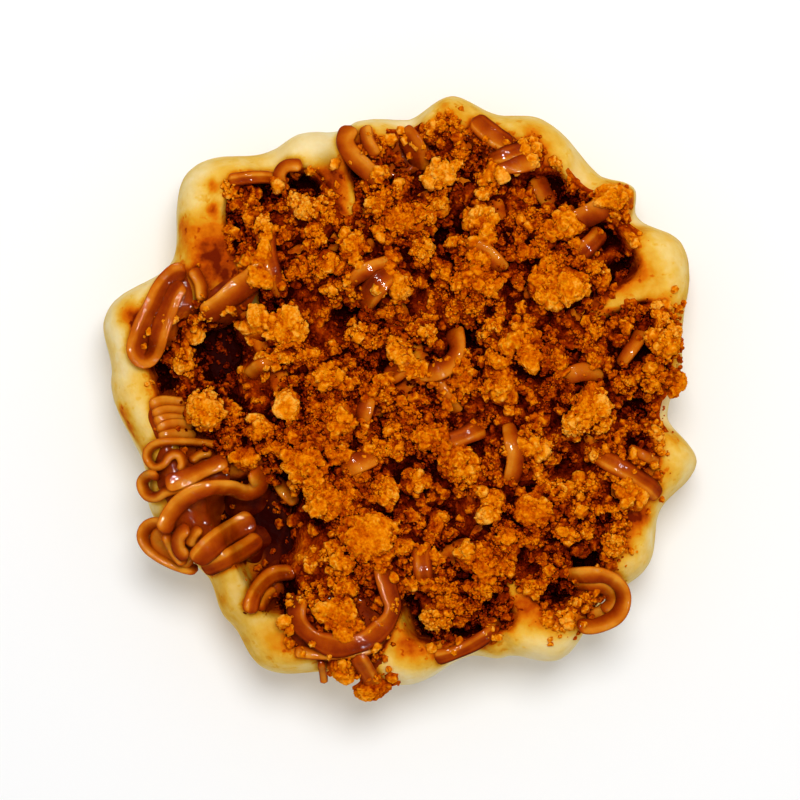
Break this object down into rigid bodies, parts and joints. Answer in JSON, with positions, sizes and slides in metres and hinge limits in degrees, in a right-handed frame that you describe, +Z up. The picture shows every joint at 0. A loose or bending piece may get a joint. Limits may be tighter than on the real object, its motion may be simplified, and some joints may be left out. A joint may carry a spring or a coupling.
{
  "type": "waffle",
  "caption": "Thick lobed waffle with oblong pockets on both sides, topped with a heap of biscuit crumbs and strands of caramel.",
  "frame": {"origin": "on the table, under the middle of the waffle", "axes": "+Z up through the thickness; +Y away from the eater, which is up in a view from above; +X to the right"},
  "size_m": [0.1265, 0.1298, 0.0341],
  "materials": {
    "baked_dough": "baked waffle dough, pale yellow, soft satin, stained orange beside the toppings",
    "biscuit_crumbs": "crushed spiced biscuit, rough orange brown grains",
    "caramel": "thick caramel, glossy reddish brown"
  },
  "bodies": {
    "root": {"waffle": "baked_dough", "crumb_heap": "biscuit_crumbs"}
  },
  "joints": []
}
